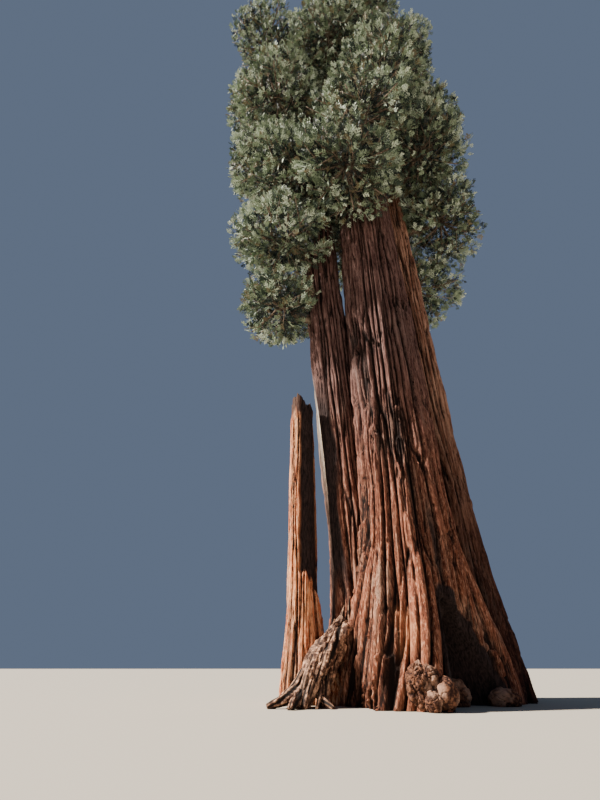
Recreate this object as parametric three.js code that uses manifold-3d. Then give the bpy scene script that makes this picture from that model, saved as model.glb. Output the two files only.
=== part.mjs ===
// A giant sequoia clump: three living stems, a broken stem, a bare root and burls, all from one root crown.
// Every size is in metres of the real tree, 72 m tall. The last step brings it down to a model 40 m tall.
// +Z is up and the ground is level at z = 0. Angles run anticlockwise from +X, seen from above.
import * as THREE from "three";
import { mergeVertices } from "three/addons/utils/BufferGeometryUtils.js";
import Module from "manifold-3d";

const wasm = await Module();
wasm.setup();

// Driving sizes
const REAL_HEIGHT = 72;
const MODEL_HEIGHT_MM = 40000;
const MM = MODEL_HEIGHT_MM / REAL_HEIGHT;
const GAP = 0.45 / MM;
const DEGREE = Math.PI / 180;

// Each stem's axis starts at foot and moves by drift * (1 - exp(-height / driftOver)).
// Its radius is the column's taper, plus a flare that dies out over flareRise, deeper on lobes and less on
// notches. A scar's left and right edges give its angle at the ground and at its top.
const STEMS = {
  middle: {
    foot: [0, 0], drift: [0, 0.6], driftOver: 50,
    height: REAL_HEIGHT, tipAt: 64, girth: 1.95,
    flare: 1.2, flareRise: 4.2, flutes: 11, fluteDepth: 0.07,
    lobes: [
      { at: 172, width: 26, reach: 0.25 },
      { at: -128, width: 15, reach: 0.3 },
      { at: -98, width: 13, reach: 0.2 },
      { at: -45, width: 34, reach: -1.3 },
      { at: 5, width: 16, reach: 0.4 },
      { at: 50, width: 24, reach: 0.3 },
      { at: 105, width: 22, reach: 0.4 },
    ],
    scar: { left: [-88, -82], right: [-14, -80], depth: 1.4, top: 3.4 },
    sides: 36, rings: 13,
  },
  right: {
    foot: [2.75, 1.5], drift: [-0.32, 0.9], driftOver: 4,
    height: 62, tipAt: 54.5, girth: 1.42,
    flare: 0.25, flareRise: 5, flutes: 9, fluteDepth: 0.06,
    lobes: [
      { at: -20, width: 24, reach: 0.08 },
      { at: 60, width: 26, reach: 0.45 },
      { at: 120, width: 26, reach: 0.5 },
    ],
    scar: { left: [-178, -150], right: [-112, -140], depth: 0.3, top: 5 },
    sides: 21, rings: 12,
  },
  left: {
    foot: [-1.8, 0.9], drift: [-3.2, 0.6], driftOver: 42,
    height: 66, tipAt: 58.5, girth: 1.17,
    flare: 0.5, flareRise: 3.4, flutes: 8, fluteDepth: 0.06,
    lobes: [
      { at: 150, width: 26, reach: 0.35 },
      { at: -150, width: 20, reach: 0.2 },
    ],
    scar: { left: [165, 178], right: [-150, -165], depth: 0.3, top: 16 },
    sides: 18, rings: 12,
  },
};

// How many degrees a scar's edge takes to reach its full depth.
const SCAR_EDGE = 9;
// How sharply a scar's edges bend on their way up.
const SCAR_BEND = 2;
// The power that brings a stem's rings closer together at its foot.
const RING_SPACING = 2.1;
// The height over which a stem's flutes fade out.
const FLUTE_RISE = 30;

// The dead stem: a column snapped off at height, with one side burnt back and a torn rim. A low spur of its
// foot joins it to the other stems.
const BROKEN = {
  foot: [-4.5, 0.35], height: 13.5, girth: 0.7, topGirth: 0.6, flare: 0.22, flareRise: 2.2,
  spur: 1.1, spurAt: -15, spurWidth: 32, spurRise: 1.1, burntAt: -20, burntWidth: 45, burntDepth: 0.2,
  tornAt: -125, tornWidth: 45, tornHeight: 0.45, ragged: 0.3, sides: 16, rings: 8,
};

// The bare root that sweeps from the left stem's foot down to the ground. It is width across its middle.
const ROOT = {
  path: [[-2.9, -0.35, 2.55], [-3.5, -0.75, 1.85], [-4.2, -1.2, 0.95], [-4.9, -1.7, -0.3]],
  width: 0.64, endWidth: 0.42, flatness: 0.85, sides: 8, steps: 9,
};

// Knots of a burl: centre and half sizes.
const BURLS = {
  large: [
    { at: [-0.98, -2.98, 0.7], half: [0.38, 0.42, 0.56] },
    { at: [-0.66, -3.12, 0.92], half: [0.27, 0.27, 0.27] },
    { at: [-0.24, -3.1, 0.46], half: [0.4, 0.42, 0.45] },
    { at: [-0.68, -3.3, 0.26], half: [0.26, 0.26, 0.28] },
  ],
  small: [{ at: [2.48, -0.78, 0.18], half: [0.54, 0.45, 0.36] }],
  hollow: [{ at: [0.74, -0.98, 0.3], half: [0.46, 0.42, 0.5] }],
};

// A crown's masses climb from low to high by a share to the power climb, and take the sectors in turn. Above
// openAbove they take every side. The top mass starts skirt below the trunk's tip.
const CROWNS = [
  {
    stem: "left", count: 11, low: 19.6, high: 57, climb: 1.3, boughs: 4,
    reach: 5.7, topReach: 9.2, size: 2.5, topSize: 4.4, topWidth: 3.3, skirt: 3,
    sectors: [{ at: 192, sweep: 110 }], openAbove: 66, phase: 0.5,
  },
  {
    stem: "right", count: 8, low: 25.5, high: 55, climb: 1, boughs: 3,
    reach: 8.1, topReach: 8.2, size: 4.0, topSize: 4.2, topWidth: 3.1, skirt: 3,
    sectors: [{ at: 2, sweep: 150 }], openAbove: 62, phase: 0.85,
  },
  {
    stem: "middle", count: 13, low: 27, high: 62.5, climb: 1, boughs: 5,
    reach: 8.7, topReach: 8.2, size: 4.2, topSize: 4.2, topWidth: 3.7, skirt: 3.5,
    sectors: [{ at: -88, sweep: 84 }, { at: 98, sweep: 44 }], openAbove: 60, phase: 0.2,
  },
];

const OPEN_SECTOR = { at: 258, sweep: 360 };
const GOLDEN_SHARE = 0.618;
const GOLDEN_TURN = 137.5;

// Boughs start startOut from the stem's axis, and end at inward and below shares of their mass's half sizes.
const BOUGH = {
  root: 0.32, tip: 0.17, sides: 6, steps: 3, rise: 0.1, sag: 0.25, startOut: 0.3, inward: 0.42, below: 0.25,
};
const MASS = {
  tall: 0.9, cores: [0.62, 0.55, 0.48, 0.41, 0.34], stemRoot: 0.17, stemBelow: 0.45,
  twigs: 4, leaderTwigs: 3, twigRoot: 0.16, twigTip: 0.03, twigReach: 0.6, shortestTwig: 0.4,
  spraysPerTwig: 2, margin: 0.02, limbClear: 0.05,
  sprayLength: 2.6, sprayWidth: 2.5, sprayThick: 0.2, scales: [1.1, 0.95, 0.8, 0.65, 0.5],
  tipSunk: 0.7, sideSunk: 0.1, tipLean: 0.15, sideLean: 1.1,
};

const BARK = new THREE.MeshStandardMaterial({ color: 0x7a4630, roughness: 0.95, metalness: 0 });
const DEAD_BARK = new THREE.MeshStandardMaterial({ color: 0x8a4c30, roughness: 0.95, metalness: 0 });
const BARE_WOOD = new THREE.MeshStandardMaterial({ color: 0x8b7460, roughness: 0.9, metalness: 0 });
const FOLIAGE = new THREE.MeshStandardMaterial({ color: 0x5c6641, roughness: 0.9, metalness: 0 });

// A repeatable number from 0 to 1 for a whole number.
function draw(k) {
  const x = Math.sin(k * 12.9898 + 4.1414) * 43758.5453;
  return x - Math.floor(x);
}

// The difference between two angles in degrees, from -180 to 180.
function turnBetween(a, b) {
  return ((((a - b + 180) % 360) + 360) % 360) - 180;
}

function bump(angle, at, width) {
  return Math.exp(-((turnBetween(angle, at) / width) ** 2));
}

const vec = (x, y, z) => new THREE.Vector3(x, y, z);
// A direction that no limb follows, to turn sections about.
const REFERENCE = vec(0.13, 0.29, 0.95).normalize();
const outward = (angle) => vec(Math.cos(angle * DEGREE), Math.sin(angle * DEGREE), 0);

function axisAt(stem, height) {
  const moved = 1 - Math.exp(-height / stem.driftOver);
  return vec(stem.foot[0] + stem.drift[0] * moved, stem.foot[1] + stem.drift[1] * moved, height);
}

// A scar is widest at the ground. Its two edges, in degrees, bend from there to where they meet at its top.
function scarDepth(scar, angle, height) {
  const share = Math.min(Math.max(height, 0) / scar.top, 1);
  const left = scar.left[0] + turnBetween(scar.left[1], scar.left[0]) * share ** SCAR_BEND;
  const right = scar.right[0] + turnBetween(scar.right[1], scar.right[0]) * share ** SCAR_BEND;
  const inside = Math.min(turnBetween(angle, left), turnBetween(right, angle)) / SCAR_EDGE;
  return scar.depth * Math.min(Math.max(inside, 0), 1) * (1 - share ** 3);
}

function stemRadius(stem, angle, height) {
  const share = Math.min(height / stem.height, 1);
  const column = stem.girth * (1 - share ** 2.2) ** 0.8;
  const lobes = stem.lobes.reduce((sum, l) => sum + l.reach * bump(angle, l.at, l.width), stem.flare);
  const fluted = stem.fluteDepth * column * Math.exp(-height / FLUTE_RISE);
  const flute = fluted * Math.cos(stem.flutes * angle * DEGREE);
  const foot = lobes * Math.exp(-((height / stem.flareRise) ** 2));
  return column + flute + foot - scarDepth(stem.scar, angle, height);
}

// A unit cylinder whose every vertex is put at place(angle, share of the length, share of the radius).
function warpedCylinder(sides, rings, place) {
  const geometry = new THREE.CylinderGeometry(1, 1, 1, sides, rings);
  const position = geometry.getAttribute("position");
  for (let i = 0; i < position.count; i++) {
    const x = position.getX(i);
    const y = -position.getZ(i);
    const p = place(Math.atan2(y, x) / DEGREE, position.getY(i) + 0.5, Math.hypot(x, y));
    position.setXYZ(i, p.x, p.y, p.z);
  }
  return geometry;
}

// A closed geometry in real metres as a solid in model millimetres.
function solid(geometry) {
  geometry.deleteAttribute("normal");
  geometry.deleteAttribute("uv");
  const merged = mergeVertices(geometry, 1e-5);
  return new wasm.Manifold(new wasm.Mesh({
    numProp: 3,
    vertProperties: merged.getAttribute("position").array.map((value) => value * MM),
    triVerts: new Uint32Array(merged.index.array),
  }));
}

// One stem from the ground to its tip, with rings close together where the flare is steep.
function stemSolid(stem, grown = 0) {
  return solid(warpedCylinder(stem.sides, stem.rings, (angle, share, rim) => {
    const height = stem.tipAt * share ** RING_SPACING + (share === 1 ? grown : 0) - (share === 0 ? grown : 0);
    const radius = (stemRadius(stem, angle, Math.min(Math.max(height, 0), stem.tipAt)) + grown) * rim;
    return axisAt(stem, height).addScaledVector(outward(angle), radius);
  }));
}

function brokenStemSolid(grown = 0) {
  const b = BROKEN;
  return solid(warpedCylinder(b.sides, b.rings, (angle, share, rim) => {
    const torn = b.tornHeight * bump(angle, b.tornAt, b.tornWidth) * rim - b.ragged * draw(Math.round(angle));
    const height = share === 1 ? b.height - b.tornHeight + torn : b.height * 0.92 * share ** 1.5;
    const flare = b.flare * Math.exp(-((height / b.flareRise) ** 2));
    const column = b.girth + (b.topGirth - b.girth) * share + flare;
    const spur = b.spur * bump(angle, b.spurAt, b.spurWidth) * Math.exp(-((height / b.spurRise) ** 2));
    const burnt = b.burntDepth * bump(angle, b.burntAt, b.burntWidth);
    const radius = (column + spur - burnt + grown) * rim;
    return vec(b.foot[0], b.foot[1], height).addScaledVector(outward(angle), radius);
  }));
}

// A tapering limb along a curve: a round section carried at right angles to the curve.
function limbSolid(curve, radiusAt, sides, steps, { flatness = 1, grown = 0 } = {}) {
  return solid(warpedCylinder(sides, steps, (angle, share, rim) => {
    const along = curve.getTangentAt(share);
    const side = REFERENCE.clone().cross(along).normalize();
    const rise = along.clone().cross(side);
    const radius = (radiusAt(share) + grown) * rim;
    const beyond = share === 1 ? grown : 0;
    return curve.getPointAt(share).addScaledVector(along, beyond)
      .addScaledVector(side, radius * Math.cos(angle * DEGREE))
      .addScaledVector(rise, radius * flatness * Math.sin(angle * DEGREE));
  }));
}

// Knots: spheres whose surface is pushed in and out by low waves.
function burlSolid(knots, detail) {
  return knots.map((knot) => {
    const geometry = new THREE.IcosahedronGeometry(1, detail);
    const position = geometry.getAttribute("position");
    for (let i = 0; i < position.count; i++) {
      const p = vec(position.getX(i), position.getY(i), position.getZ(i));
      const wave = 1 + 0.09 * Math.sin(6 * p.x + 2 * p.z) * Math.cos(5 * p.y - 3 * p.z);
      p.multiplyScalar(wave).multiply(vec(...knot.half)).add(vec(...knot.at));
      position.setXYZ(i, p.x, p.y, p.z);
    }
    return solid(geometry);
  }).reduce((all, next) => all.add(next));
}

// The masses of every crown: a centre and half sizes, and the limb or stem that carries each.
function placeMasses() {
  const masses = [];
  for (const crown of CROWNS) {
    const stem = STEMS[crown.stem];
    for (let i = 0; i < crown.count; i++) {
      const share = (i + 0.5) / crown.count;
      const height = crown.low + (crown.high - crown.low) * share ** crown.climb;
      const sector = height > crown.openAbove ? OPEN_SECTOR : crown.sectors[i % crown.sectors.length];
      const angle = sector.at + sector.sweep * (((crown.phase + i * GOLDEN_SHARE) % 1) - 0.5);
      const half = crown.size + (crown.topSize - crown.size) * Math.sqrt(share);
      const reach = crown.reach + (crown.topReach - crown.reach) * share;
      const axis = axisAt(stem, height);
      masses.push({
        name: `${crown.stem}_foliage_${i + 1}`, stem: crown.stem, index: i, angle, height,
        centre: axis.clone().addScaledVector(outward(angle), reach - half),
        half: vec(half, half, half * MASS.tall), bough: i < crown.boughs,
      });
    }
    const tall = (stem.height - stem.tipAt + crown.skirt) / 2;
    masses.push({
      name: `${crown.stem}_foliage_top`, stem: crown.stem, index: crown.count, angle: 0, leader: true,
      centre: axisAt(stem, stem.height - tall), half: vec(crown.topWidth, crown.topWidth, tall),
    });
  }
  return masses;
}

const masses = placeMasses();

// A bough's curve, from within the stem out to where it enters its mass.
function boughCurve(mass) {
  const stem = STEMS[mass.stem];
  const tip = mass.centre.clone().addScaledVector(outward(mass.angle), -BOUGH.inward * mass.half.x);
  tip.z -= BOUGH.below * mass.half.z;
  const start = axisAt(stem, tip.z - BOUGH.rise * tip.distanceTo(axisAt(stem, tip.z)));
  start.addScaledVector(outward(mass.angle), BOUGH.startOut);
  const bend = start.clone().lerp(tip, 0.5).add(vec(0, 0, -BOUGH.sag));
  return new THREE.QuadraticBezierCurve3(start, bend, tip);
}

// A mass's own stem: on from its bough's tip, or out of the trunk, to the middle of the mass.
function stemCurve(mass) {
  const stem = STEMS[mass.stem];
  const middle = mass.centre.clone();
  let start = axisAt(stem, mass.centre.z - MASS.stemBelow * mass.half.z);
  let way = outward(mass.angle);
  if (mass.curve) {
    way = mass.curve.getTangent(1);
    start = mass.curve.getPoint(1).addScaledVector(way, GAP);
  } else if (mass.leader) {
    way = vec(0, 0, 1);
    start = axisAt(stem, stem.tipAt + GAP);
  }
  return new THREE.QuadraticBezierCurve3(start, start.clone().addScaledVector(way, 0.5), middle);
}

// How far a point lies outside the nearest stem, in metres.
function clearOfStems(point) {
  return Math.min(...Object.values(STEMS).map((stem) => {
    if (point.z > stem.tipAt + 0.1) return Infinity;
    const from = point.clone().sub(axisAt(stem, point.z));
    const angle = Math.atan2(from.y, from.x) / DEGREE;
    return Math.hypot(from.x, from.y) - stemRadius(stem, angle, Math.max(point.z, 0));
  }));
}

// How far a point lies outside the nearest bough.
function clearOfBoughs(point) {
  return Math.min(Infinity, ...masses.filter((m) => m.curve).map((m) => {
    let nearest = Infinity;
    for (let k = 0; k <= 8; k++) nearest = Math.min(nearest, m.curve.getPoint(k / 8).distanceTo(point));
    return nearest - BOUGH.root;
  }));
}

// Whether a point is in a mass's own space: its ellipsoid, on its side of the plane midway to each neighbour.
function inSpace(point, mass) {
  const from = point.clone().sub(mass.centre);
  if (from.clone().divide(mass.half).length() > 1) return false;
  return masses.every((other) => {
    if (other === mass) return true;
    const apart = other.centre.clone().sub(mass.centre);
    return from.dot(apart) / apart.length() < apart.length() / 2 - MASS.margin;
  });
}

function fits(points, mass) {
  return points.every((p) => inSpace(p, mass)
    && clearOfStems(p) > MASS.limbClear && clearOfBoughs(p) > MASS.limbClear);
}

// A spray of foliage: a thin blade with three teeth, thickest in its middle. Corners run round its outline.
const SPRAY_OUTLINE = [[1, 0], [0.68, 0.3], [0.62, 1], [-0.12, 0.1], [0.5, -0.95], [0.66, -0.32]];
const SPRAY_ROOT = 3;
const SPRAY_MIDDLE = 0.34;

function sprayCorners(root, along, across, scale) {
  const length = MASS.sprayLength * scale;
  const width = MASS.sprayWidth * scale;
  return SPRAY_OUTLINE.map(([a, c]) => root.clone()
    .addScaledVector(along, a * length).addScaledVector(across, c * width * 0.5));
}

function spraySolid(root, along, across, scale) {
  const geometry = new THREE.SphereGeometry(1, SPRAY_OUTLINE.length, 2);
  const position = geometry.getAttribute("position");
  const corners = sprayCorners(root, along, across, scale);
  const flat = along.clone().cross(across);
  const middle = root.clone().addScaledVector(along, SPRAY_MIDDLE * MASS.sprayLength * scale);
  for (let i = 0; i < position.count; i++) {
    const y = position.getY(i);
    const turn = Math.round(Math.atan2(position.getZ(i), -position.getX(i)) / (Math.PI / 3) + 6) % 6;
    const p = Math.abs(y) > 0.5
      ? middle.clone().addScaledVector(flat, Math.sign(y) * MASS.sprayThick * scale * 0.5)
      : corners[turn];
    position.setXYZ(i, p.x, p.y, p.z);
  }
  const made = solid(geometry);
  return made.volume() > 0 ? made : solid(flipped(geometry));
}

// The same geometry with each face turned round.
function flipped(geometry) {
  const index = geometry.index.array;
  for (let i = 0; i < index.length; i += 3) [index[i + 1], index[i + 2]] = [index[i + 2], index[i + 1]];
  return geometry;
}

// Twigs spread from the middle of a mass towards the sides of its space.
function twigLines(mass, seed) {
  const lines = [];
  const count = mass.leader ? MASS.leaderTwigs : MASS.twigs;
  for (let k = 0; k < count; k++) {
    const turn = (k * GOLDEN_TURN + 360 * draw(seed)) * DEGREE;
    const rise = mass.leader ? 1 - (1.8 * k) / count : 1 - (2 * (k + 0.5)) / count;
    const flat = Math.sqrt(1 - rise ** 2);
    const way = vec(flat * Math.cos(turn), flat * Math.sin(turn), rise);
    const end = mass.centre.clone().add(way.multiply(mass.half).multiplyScalar(MASS.twigReach));
    lines.push(new THREE.LineCurve3(mass.centre, end));
  }
  return lines;
}

// The small core of a mass, as large as its own space allows. A top mass's core stays clear of its trunk.
function coreSolid(mass) {
  const geometry = new THREE.IcosahedronGeometry(1, 0);
  const position = geometry.getAttribute("position");
  const corner = (i, share) => {
    const p = vec(position.getX(i), position.getY(i), position.getZ(i));
    const uneven = 0.85 + 0.3 * draw(mass.index + Math.round(20 * (p.x + 2 * p.y + 3 * p.z)));
    return p.multiply(mass.half).multiplyScalar(share * uneven).add(mass.centre);
  };
  const corners = [...Array(position.count).keys()];
  const share = MASS.cores.find((size) => corners.map((i) => corner(i, size)).every((p) => inSpace(p, mass)
    && (!mass.leader || clearOfStems(p) > MASS.limbClear)));
  for (const i of corners) {
    const p = corner(i, share);
    position.setXYZ(i, p.x, p.y, p.z);
  }
  return solid(geometry);
}

// One mass: its stem, a small core, and the twigs with their sprays, kept to its own space and fused.
function massSolid(mass, number) {
  const seed = 1 + number * 97;
  const pieces = [coreSolid(mass)];
  pieces.push(limbSolid(stemCurve(mass), (s) => MASS.stemRoot + (MASS.twigRoot - MASS.stemRoot) * s, 3, 2));
  twigLines(mass, seed).forEach((line, k) => {
    let reach = 1;
    while (reach > MASS.shortestTwig && !fits([line.getPoint(reach)], mass)) reach -= 0.08;
    if (reach <= MASS.shortestTwig) return;
    const way = line.getTangent(0);
    const twig = new THREE.LineCurve3(line.getPoint(0), line.getPoint(reach));
    pieces.push(limbSolid(twig, (s) => MASS.twigRoot + (MASS.twigTip - MASS.twigRoot) * s, 3, 1));
    for (let j = 0; j < MASS.spraysPerTwig; j++) {
      const root = line.getPoint(reach * (1 - 0.25 * j));
      root.addScaledVector(way, j === 0 ? -MASS.tipSunk : -MASS.sideSunk);
      const tilt = REFERENCE.clone().cross(way).normalize()
        .applyAxisAngle(way, 2 * Math.PI * (j / MASS.spraysPerTwig + draw(seed + 13 * k)));
      const along = way.clone().addScaledVector(tilt, j === 0 ? MASS.tipLean : MASS.sideLean).normalize();
      const across = along.clone().cross(tilt).normalize();
      if (mass.leader && k + j === 0) {
        const toTip = (STEMS[mass.stem].height - root.z) / MASS.sprayLength;
        pieces.push(spraySolid(root, vec(0, 0, 1), across, toTip));
        continue;
      }
      const scale = MASS.scales.find((size) => {
        const outer = sprayCorners(root, along, across, size).filter((_, corner) => corner !== SPRAY_ROOT);
        return fits(outer, mass);
      });
      if (scale) pieces.push(spraySolid(root, along, across, scale));
    }
  });
  return pieces.reduce((all, next) => all.add(next));
}

// The largest closed body of a solid, so that no loose scrap is left by a cut.
function largest(body) {
  return body.decompose().sort((a, b) => b.volume() - a.volume())[0];
}

const group = new THREE.Group();

function addNode(name, body, material) {
  const { vertProperties, triVerts, numProp, numVert } = body.getMesh();
  const corners = new Float32Array(numVert * 3);
  for (let i = 0; i < numVert; i++) corners.set(vertProperties.subarray(i * numProp, i * numProp + 3), i * 3);
  const geometry = new THREE.BufferGeometry();
  geometry.setAttribute("position", new THREE.BufferAttribute(corners, 3));
  geometry.setIndex(new THREE.BufferAttribute(triVerts, 1));
  geometry.computeVertexNormals();
  const mesh = new THREE.Mesh(geometry, material);
  mesh.name = name;
  group.add(mesh);
}

// Trunks: each gives way to the ones before it.
const grownMiddle = stemSolid(STEMS.middle, GAP);
const grownRight = stemSolid(STEMS.right, GAP);
const grownLeft = stemSolid(STEMS.left, GAP);
const grownBroken = brokenStemSolid(GAP);
const ground = [[0, 0, 1], 0];
const middleTrunk = stemSolid(STEMS.middle);
const rightTrunk = largest(stemSolid(STEMS.right).subtract(grownMiddle));
const leftTrunk = largest(stemSolid(STEMS.left).subtract(grownMiddle));
const brokenTrunk = largest(brokenStemSolid().subtract(grownMiddle).subtract(grownLeft));
addNode("middle_trunk", middleTrunk, BARK);
addNode("right_trunk", rightTrunk, BARK);
addNode("left_trunk", leftTrunk, BARK);
addNode("broken_trunk", brokenTrunk, DEAD_BARK);

const rootCurve = new THREE.CatmullRomCurve3(ROOT.path.map((p) => vec(...p)));
const rootRadius = (s) => ROOT.endWidth + (ROOT.width - ROOT.endWidth) * Math.sin(Math.PI * s);
const rootBody = limbSolid(rootCurve, rootRadius, ROOT.sides, ROOT.steps, { flatness: ROOT.flatness });
addNode("bare_root", largest(
  rootBody.trimByPlane(...ground).subtract(grownLeft).subtract(grownMiddle).subtract(grownBroken),
), BARE_WOOD);

for (const [name, knots] of Object.entries(BURLS)) {
  const body = burlSolid(knots, 1).trimByPlane(...ground);
  addNode(`${name}_burl`, largest(body.subtract(grownMiddle).subtract(grownRight)), BARK);
}

// Boughs start inside their trunk and are cut clear of every trunk. A mass is cut clear of trunks and boughs.
for (const mass of masses) if (mass.bough) mass.curve = boughCurve(mass);
const grownTrunks = [grownMiddle, grownRight, grownLeft];
const grownBoughs = new Map();
for (const mass of masses.filter((m) => m.curve)) {
  const taper = (s) => BOUGH.root + (BOUGH.tip - BOUGH.root) * s;
  const body = limbSolid(mass.curve, taper, BOUGH.sides, BOUGH.steps);
  grownBoughs.set(mass, limbSolid(mass.curve, taper, BOUGH.sides, BOUGH.steps, { grown: GAP }));
  const cut = grownTrunks.reduce((rest, trunk) => rest.subtract(trunk), body);
  addNode(`${mass.stem}_bough_${mass.index + 1}`, largest(cut), BARK);
}
masses.forEach((mass, number) => {
  const limbs = [...grownTrunks, ...grownBoughs.values()];
  const body = limbs.reduce((rest, limb) => rest.subtract(limb), massSolid(mass, number));
  addNode(mass.name, largest(body), FOLIAGE);
});

export default group;
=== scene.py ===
"""A giant sequoia clump in its finished looks: furrowed bark, a bare root, burls, boughs, twigs and foliage.

Shapes are worked out in metres of the real tree, 72 m tall, and SCALE brings them to the model's metres.
Angles are in degrees, anticlockwise from +X seen from above. The ground is level at z = 0.
"""

import math
from types import SimpleNamespace

import bpy
import numpy as np
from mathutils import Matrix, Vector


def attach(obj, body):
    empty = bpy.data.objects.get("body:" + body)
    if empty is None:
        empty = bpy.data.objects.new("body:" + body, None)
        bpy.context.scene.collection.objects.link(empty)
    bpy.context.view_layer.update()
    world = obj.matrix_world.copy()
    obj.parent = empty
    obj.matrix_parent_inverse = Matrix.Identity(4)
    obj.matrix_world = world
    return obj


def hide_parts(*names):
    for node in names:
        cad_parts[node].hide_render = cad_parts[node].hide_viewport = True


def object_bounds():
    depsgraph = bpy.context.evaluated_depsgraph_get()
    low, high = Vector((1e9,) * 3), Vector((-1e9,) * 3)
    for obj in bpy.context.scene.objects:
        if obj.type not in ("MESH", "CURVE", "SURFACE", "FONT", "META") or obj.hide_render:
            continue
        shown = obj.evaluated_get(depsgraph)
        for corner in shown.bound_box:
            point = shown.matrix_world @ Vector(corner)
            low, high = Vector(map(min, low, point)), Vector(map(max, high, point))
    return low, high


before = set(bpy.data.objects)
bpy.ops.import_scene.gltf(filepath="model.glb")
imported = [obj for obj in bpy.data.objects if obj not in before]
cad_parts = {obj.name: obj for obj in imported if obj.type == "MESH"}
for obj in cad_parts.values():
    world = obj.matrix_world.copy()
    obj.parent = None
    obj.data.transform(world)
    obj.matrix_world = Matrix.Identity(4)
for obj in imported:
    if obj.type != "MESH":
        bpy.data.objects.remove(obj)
cad_box = [list(corner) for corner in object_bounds()]

REAL_HEIGHT = 72
SCALE = 40 / REAL_HEIGHT

# Each stem's axis starts at foot and moves by drift * (1 - exp(-height / drift_over)).
# Lobes are (angle, width, reach) of the flare. A scar's edges are its angles at the ground and at its top.
STEMS = {
    "middle": dict(
        foot=(0, 0), drift=(0, 0.6), drift_over=50, height=REAL_HEIGHT, tip_at=64, girth=1.95,
        flare=1.2, flare_rise=4.2, flutes=11, flute_depth=0.07,
        lobes=[(172, 26, 0.25), (-128, 15, 0.3), (-98, 13, 0.2), (-45, 34, -1.3), (5, 16, 0.4), (50, 24, 0.3),
               (105, 22, 0.4)],
        scar=dict(left=(-88, -82), right=(-14, -80), depth=1.6, top=3.5),
    ),
    "right": dict(
        foot=(2.75, 1.5), drift=(-0.32, 0.9), drift_over=4, height=62, tip_at=54.5, girth=1.42,
        flare=0.25, flare_rise=5, flutes=9, flute_depth=0.06,
        lobes=[(-20, 24, 0.08), (60, 26, 0.45), (120, 26, 0.5)],
        scar=dict(left=(-178, -150), right=(-112, -140), depth=0.3, top=5),
    ),
    "left": dict(
        foot=(-1.8, 0.9), drift=(-3.2, 0.6), drift_over=42, height=66, tip_at=58.5, girth=1.17,
        flare=0.5, flare_rise=3.4, flutes=8, flute_depth=0.06,
        lobes=[(150, 26, 0.35), (-150, 20, 0.2)],
        scar=dict(left=(165, 178), right=(-150, -165), depth=0.3, top=16),
    ),
}
SCAR_EDGE = 6
SCAR_BEND = 2
FLUTE_RISE = 30
# The foot's folds turn sideways as they come down, most at one angle, between far and near of it.
SWEEP = dict(turn=16, at=-120, far=110, near=30, rise=3)

# Marks on the bark: their angle and width, and the heights over which they start and end.
# A painted shade streak, dark as char, where a groove rises from the top of the middle trunk's hollow.
GROOVE_SHADE = dict(at=-74, width=3, start=(3.0, 4.5), end=(5.5, 8))
RUBBED_PATCH = dict(at=-113, width=11, start=(0.5, 2.0), end=(2.3, 3.6))
LEFT_BURN = dict(at=-150, width=38, start=(2.5, 5), end=(12, 16))
BLEACHED_STRIP = dict(LEFT_BURN, at=178, width=6)
# Soot and painted shade in the middle trunk's hollow reach a little past the hollow's edges.
HOLLOW_SOOT_AND_SHADE = dict(left=(-93, -85), right=(-6, -76), top=4.0)

# How far each layer of the bark stands out or lies deep, in metres on a stem of 1.3 m radius.
RELIEF = dict(furrow=0.2, fine=0.07, swell=0.1, flake=0.05, chip=0.03, crack=0.045, base=0.06)

# The dead stem, snapped off at its height.
BROKEN = dict(
    foot=(-4.5, 0.35), height=13.5, girth=0.7, top_girth=0.6, flare=0.22, flare_rise=2.2,
    spur=1.1, spur_at=-15, spur_width=32, spur_rise=1.1, torn_at=-125, torn_width=34, torn_height=0.45,
    ragged=0.3,
)
# Its burnt face: between the angles left and right, above low, and cut back by depth. It falls away to the right.
BURNT = dict(left=-110, right=30, low=4.4, fall=2.4, fall_over=110, depth=0.16, edge=6)
BARE_FROM = (12.4, 13.0)
# Rings of the torn shell: their share of the rim's radius, and how far they lie below it.
TORN_RINGS = ((0.86, 0.02), (0.8, 0.3), (0.66, 0.75), (0.4, 0.9), (0.15, 0.95))

ROOT = dict(
    path=[(-2.9, -0.35, 2.55), (-3.5, -0.75, 1.85), (-4.2, -1.2, 0.95), (-4.9, -1.7, -0.3)],
    width=0.58, end_width=0.4, flatness=0.8,
)

# Strands that run down the root's sides: path, first and last radius.
ROOT_STRANDS = [
    ([(-3.0, -0.6, 2.65), (-3.66, -0.84, 2.05), (-4.36, -1.2, 1.2), (-4.9, -1.6, 0.55), (-5.6, -1.9, 0.05)],
     0.27, 0.14),
    ([(-3.0, -0.72, 2.4), (-3.45, -1.12, 1.8), (-4.1, -1.6, 0.95), (-4.65, -2.0, 0.0)], 0.34, 0.24),
    ([(-3.15, -0.85, 1.8), (-3.7, -1.25, 0.85), (-4.0, -1.5, 0.0)], 0.3, 0.22),
]

# Toes at the root's low end and splinters at its top: path, first and last radius.
ROOT_TOES = [
    ([(-4.5, -1.45, 0.6), (-5.0, -1.75, 0.32), (-5.75, -1.95, 0.05)], 0.3, 0.1),
    ([(-3.95, -1.55, 0.75), (-4.0, -1.85, 0.4), (-4.15, -2.1, 0.0)], 0.1, 0.05),
    ([(-4.5, -1.5, 0.5), (-4.8, -2.0, 0.28), (-5.0, -2.5, 0.02)], 0.24, 0.1),
    ([(-4.2, -1.3, 0.55), (-4.0, -1.75, 0.3), (-3.6, -2.1, 0.02)], 0.2, 0.07),
    ([(-3.1, -0.5, 2.2), (-3.06, -0.62, 2.75), (-2.95, -0.66, 3.2)], 0.2, 0.02),
    ([(-2.9, -0.5, 2.2), (-2.8, -0.62, 2.9), (-2.72, -0.7, 3.5)], 0.18, 0.02),
    ([(-3.45, -0.75, 1.95), (-3.42, -0.84, 2.35), (-3.36, -0.88, 2.7)], 0.15, 0.02),
]

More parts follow.
